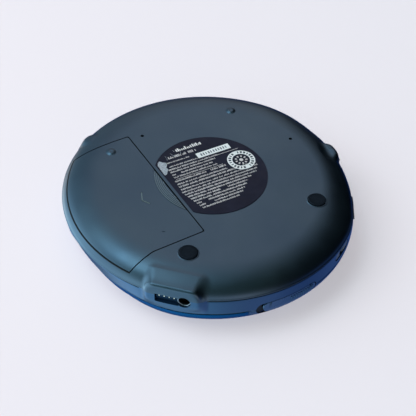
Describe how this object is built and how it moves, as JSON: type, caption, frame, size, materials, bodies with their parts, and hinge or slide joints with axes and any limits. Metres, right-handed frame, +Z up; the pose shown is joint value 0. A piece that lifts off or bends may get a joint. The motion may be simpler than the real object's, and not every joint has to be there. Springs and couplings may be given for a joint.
{
  "type": "portable disc player",
  "caption": "Round clamshell portable disc player with hinged lid, disc mechanism, sliding battery door, jack pod and front keys.",
  "frame": {"origin": "centre of the round case on the surface that its feet stand on", "axes": "+Z up towards the lid, -Y towards the front with the lid slider, +Y towards the lid hinge, +X towards the battery door"},
  "size_m": [0.1392, 0.1396, 0.0256],
  "materials": {
    "shell": "satin",
    "lid": "satin",
    "slider": "satin",
    "rubber": "matte",
    "label": "satin",
    "black_plastic": "matte",
    "spring_steel": "bright",
    "nickel": "bright",
    "gold": "bright",
    "board": "satin",
    "chip": "matte",
    "deck_steel": "satin",
    "clear_window": "gloss",
    "lcd": "gloss",
    "lid_plate": "brushed",
    "liner": "matte",
    "turntable": "satin",
    "pickup": "matte",
    "lens": "gloss",
    "key": "satin",
    "trim": "satin"
  },
  "bodies": {
    "base": {"bottom_case": "shell", "cabinet": "shell", "rubber_feet": "rubber", "rating_label": "label", "battery_bay": "black_plastic", "battery_springs": "spring_steel", "battery_contacts": "spring_steel", "dc_jack_body": "black_plastic", "dc_jack_pin": "nickel", "terminal_block": "black_plastic", "terminal_contacts": "gold", "phones_jack_body": "black_plastic", "phones_jack_ring": "nickel", "main_board": "board", "board_chips": "chip", "case_screws": "nickel", "deck_plate": "deck_steel", "rubber_dampers": "rubber", "deck_screws": "nickel", "spindle_motor": "deck_steel", "guide_rods": "nickel", "sled_motor": "deck_steel", "display_window": "clear_window", "lcd_panel": "lcd", "key_board": "board", "slider_spring": "spring_steel"},
    "lid": {"lid_shell": "lid", "lid_plate": "lid_plate", "lid_liner": "liner", "hinge_pins": "nickel"},
    "slider": {"open_slider": "slider"},
    "door": {"battery_door": "shell"},
    "disc_hub": {"turntable": "turntable", "chuck_balls": "nickel"},
    "sled": {"pickup_body": "pickup", "objective_lens": "lens"},
    "screw": {"lead_screw": "nickel"},
    "key_play": {"key_play": "key"},
    "key_stop": {"key_stop": "key"},
    "key_back": {"key_back": "key"},
    "key_forward": {"key_forward": "key"},
    "key_mode": {"key_mode": "key"},
    "volume": {"volume_rocker": "trim"},
    "hold": {"hold_switch": "trim"}
  },
  "joints": [
    {"name": "lid_hinge", "type": "hinge", "parent": "base", "child": "lid", "pos_m": [0, 0.0666, 0.0172], "axis": [-1, 0, 0], "range_deg": [0, 82]},
    {"name": "lid_release", "type": "slide", "parent": "base", "child": "slider", "axis": [1, 0, 0], "range_m": [0, 0.003], "stiffness_N_per_m": 200, "deforming": ["slider_spring"]},
    {"name": "battery_door_slide", "type": "slide", "parent": "base", "child": "door", "axis": [1, 0, 0], "range_m": [0, 0.008]},
    {"name": "disc_spin", "type": "hinge", "parent": "base", "child": "disc_hub", "pos_m": [0, 0, 0.0186], "axis": [0, 0, 1], "continuous": true},
    {"name": "sled_travel", "type": "slide", "parent": "base", "child": "sled", "axis": [-1, 0, 0], "range_m": [0, 0.03]},
    {"name": "lead_screw_spin", "type": "hinge", "parent": "base", "child": "screw", "pos_m": [-0.03, 0.0194, 0.0114], "axis": [-1, 0, 0], "range_deg": [-10, 9829]},
    {"name": "key_play_press", "type": "slide", "parent": "base", "child": "key_play", "axis": [0.412, 0.4192, -0.809], "range_m": [0, 0.0005], "stiffness_N_per_m": 400},
    {"name": "key_stop_press", "type": "slide", "parent": "base", "child": "key_stop", "axis": [0.4632, 0.3619, -0.809], "range_m": [0, 0.0005], "stiffness_N_per_m": 400},
    {"name": "key_back_press", "type": "slide", "parent": "base", "child": "key_back", "axis": [0.5065, 0.2983, -0.809], "range_m": [0, 0.0005], "stiffness_N_per_m": 400},
    {"name": "key_forward_press", "type": "slide", "parent": "base", "child": "key_forward", "axis": [0.5411, 0.2297, -0.809], "range_m": [0, 0.0005], "stiffness_N_per_m": 400},
    {"name": "key_mode_press", "type": "slide", "parent": "base", "child": "key_mode", "axis": [0.5664, 0.1571, -0.809], "range_m": [0, 0.0005], "stiffness_N_per_m": 400},
    {"name": "volume_rock", "type": "hinge", "parent": "base", "child": "volume", "pos_m": [-0.05356, -0.03891, 0.0124], "axis": [0, 0, 1], "range_deg": [-3, 3], "stiffness_Nm_per_rad": 0.05},
    {"name": "hold_slide", "type": "slide", "parent": "base", "child": "hold", "axis": [0.2924, -0.9563, 0], "range_m": [0, 0.002]}
  ],
  "couplings": [
    {"joint": "lead_screw_spin", "follows": "sled_travel", "rad_per_m": 5712}
  ]
}
